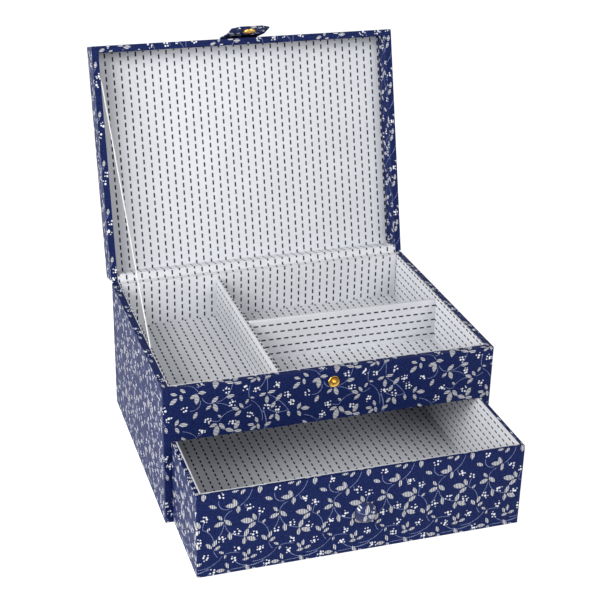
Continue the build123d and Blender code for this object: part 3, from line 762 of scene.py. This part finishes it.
def strap():
    """One stiffened strap with rolled edges: glued on the lid, turned over its front edge and clipped at the
    tip."""
    half = TAB_THICKNESS / 2
    stations = strap_stations()
    shape = bmesh.new()
    cloth = shape.loops.layers.uv.new("cloth")
    sections = []
    for i, (y, z, past) in enumerate(stations):
        before = stations[max(i - 1, 0)]
        after = stations[min(i + 1, len(stations) - 1)]
        along = Vector((after[0] - before[0], after[1] - before[1])).normalized()
        out = Vector((along.y, -along.x))
        clipped = max(0.0, past - TAB_SHOULDER) / (TAB_LENGTH - TAB_SHOULDER)
        flat = TAB_WIDTH / 2 + (TAB_TIP_WIDTH - TAB_WIDTH) / 2 * clipped - half
        into_tip = max(0.0, past - (TAB_LENGTH - half))
        thick = (half ** 2 - into_tip ** 2) ** 0.5
        section = [(share * flat, -thick) for share in (-1, -0.6, -0.2, 0.2, 0.6, 1)]
        rolled = [radians(angle) for angle in (30, 60, 90, 120, 150)]
        section += [(flat + half * sin(turn), -thick * cos(turn)) for turn in rolled]
        section += [(share * flat, thick) for share in (1, 0.6, 0.2, -0.2, -0.6, -1)]
        section += [(-flat - half * sin(turn), thick * cos(turn)) for turn in rolled]
        ring = []
        for x, off in section:
            place = lid_frame @ Vector((x, y + out.x * off, z + out.y * off))
            ring.append((shape.verts.new(place * MM), (x + off, past)))
        sections.append(ring)
    quads = []
    for low, high in zip(sections, sections[1:]):
        for i in range(len(low)):
            j = (i + 1) % len(low)
            quads.append((low[i], low[j], high[j], high[i]))
    for corners in quads + [sections[0], sections[-1]]:
        face = shape.faces.new([corner[0] for corner in corners])
        for loop, corner in zip(face.loops, corners):
            loop[cloth].uv = corner[1]
    bmesh.ops.recalc_face_normals(shape, faces=shape.faces)
    piece = finish_piece("tab_strap_cloth", to_mesh("tab_strap_cloth", shape), [calico],
                         ["tab_root", "tab_strap"])
    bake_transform(piece)


strap()


# ---------------------------------------------------------------- covered knob
KNOB_SIDES = 72
KNOB_RECESS = 2.4         # depth of the hollow behind the dome, where the back plate sits
KNOB_PROFILE = (          # share of the radius, share of the height, from the foot to the crown
    (0.97, 0.0), (0.995, 0.03), (1.0, 0.08), (0.99, 0.13), (0.95, 0.15), (0.935, 0.18), (0.94, 0.22),
    (0.95, 0.27), (0.945, 0.36), (0.925, 0.46), (0.88, 0.57), (0.81, 0.69), (0.72, 0.79), (0.60, 0.87),
    (0.46, 0.93), (0.31, 0.97), (0.16, 0.992), (0.05, 1.0),
)
KNOB_PRINT = (41.5, -46.0)     # the place of the print at the button's middle


def covered_knob():
    """A metal button shell with calico drawn tightly over it. The cloth's rim is rolled under, against the
    drawer."""
    low, high = limits("knob_shell")
    plate_low, plate_high = limits("knob_back")
    middle = (low + high) / 2
    radius, height = (high.x - low.x) / 2, high.y - low.y
    seat = (plate_high.x - plate_low.x) / 2 / radius
    profile = ((seat, KNOB_RECESS / height), (seat, 0.0)) + KNOB_PROFILE
    dome = bmesh.new()
    cloth = dome.loops.layers.uv.new("cloth")
    rings = []
    turns = [tau * i / KNOB_SIDES for i in range(KNOB_SIDES)]
    for out, rise in profile:
        front = (high.y - height * rise) * MM
        rings.append([dome.verts.new(((middle.x + radius * out * cos(turn)) * MM, front,
                                      (middle.z + radius * out * sin(turn)) * MM)) for turn in turns])
    for lower, upper in zip(rings, rings[1:]):
        for i in range(KNOB_SIDES):
            j = (i + 1) % KNOB_SIDES
            dome.faces.new((lower[i], lower[j], upper[j], upper[i]))
    for ring in (rings[0], rings[-1]):
        dome.faces.new(ring)
    bmesh.ops.recalc_face_normals(dome, faces=dome.faces)
    for face in dome.faces:
        for corner in face.loops:
            place = corner.vert.co / MM - middle
            corner[cloth].uv = (place.x + KNOB_PRINT[0], place.z + KNOB_PRINT[1])
    finish_piece("knob_cover", to_mesh("knob_cover", dome), [drawn_calico], ["knob_shell"],
                 "drawer")


covered_knob()


# ---------------------------------------------------------------- metal parts and boards
def smoothed(node_name, body, material):
    """Copy a round CAD part with its facets smoothed and its rolled rims kept crisp."""
    copy = bmesh.new()
    copy.from_mesh(frame["nodes"][node_name].data)
    bmesh.ops.remove_doubles(copy, verts=copy.verts, dist=0.001 * MM)
    finish_piece(node_name + "_smooth", to_mesh(node_name, copy), [material], [node_name], body)


smoothed("snap_stud", "case", brass)
smoothed("snap_socket", "tab", brass)
smoothed("snap_cap", "tab", brass)

for node_name, node in frame["nodes"].items():
    if not node.hide_render:
        node.data.materials.clear()
        node.data.materials.append(steel if node_name.startswith(("knob", "stud")) else greyboard)


# ---------------------------------------------------------------- light and floor
def softbox(name, place, aim, side, power):
    """A square area lamp that looks at aim."""
    panel = bpy.data.lights.new(name, "AREA")
    panel.shape = "SQUARE"
    panel.size = side
    panel.energy = power
    lamp = bpy.data.objects.new(name, panel)
    bpy.context.scene.collection.objects.link(lamp)
    lamp.location = place
    lamp.rotation_euler = (Vector(aim) - Vector(place)).to_track_quat("-Z", "Y").to_euler()


def looked_at(tree):
    """1 where the camera, a reflection or a view through something looks, and 0 for light that falls on
    things."""
    ray = add(tree, "ShaderNodeLightPath")
    seen = add(tree, MATHS, [ray.outputs["Is Camera Ray"], ray.outputs["Is Glossy Ray"]], operation="MAXIMUM")
    return add(tree, MATHS, [seen, ray.outputs["Is Transmission Ray"]], operation="MAXIMUM")


def white_room(fill):
    """White where it is looked at, and a soft fill for everything else."""
    room = bpy.data.worlds.new("white room")
    room.use_nodes = True
    bpy.context.scene.world = room
    tree = room.node_tree
    background = tree.nodes["Background"]
    background.inputs["Color"].default_value = (1, 1, 1, 1)
    feed(tree, add(tree, RANGE, [looked_at(tree), 0.0, 1.0, fill, 1.0]), background, "Strength")


def white_floor(lift):
    """Matt white paper, lifted to white where it is looked at, so that only shadows show."""
    reach = 8.0
    mesh = bpy.data.meshes.new("floor")
    mesh.from_pydata([(-reach, -reach, 0), (reach, -reach, 0), (reach, reach, 0), (-reach, reach, 0)], [],
                     [(0, 1, 2, 3)])
    floor = bpy.data.objects.new("floor", mesh)
    bpy.context.scene.collection.objects.link(floor)
    material, tree, shader = new_material("matt white paper", Roughness=0.95, Specular_IOR_Level=0.0,
                                          Base_Color=linear("#f2f2f2"), Emission_Color=(1, 1, 1, 1))
    feed(tree, add(tree, MATHS, [looked_at(tree), lift], operation="MULTIPLY"), shader, "Emission Strength")
    mesh.materials.append(material)


SOFTBOXES = (             # name, place, aim and side of the square in metres, watts
    ("front softbox", (0.8, -1.9, 1.4), (0, 0, 0.12), 1.2, 21),
    ("left softbox", (-1.7, -1.2, 1.5), (0, 0, 0.12), 1.2, 36),
    ("low left softbox", (-1.5, -0.35, 0.25), (-0.15, 0, 0.08), 0.5, 10),
)
for name, place, aim, side, power in SOFTBOXES:
    softbox(name, place, aim, side, power)
white_room(fill=0.15)
white_floor(lift=0.82)
bpy.context.scene.view_settings.view_transform = "Standard"
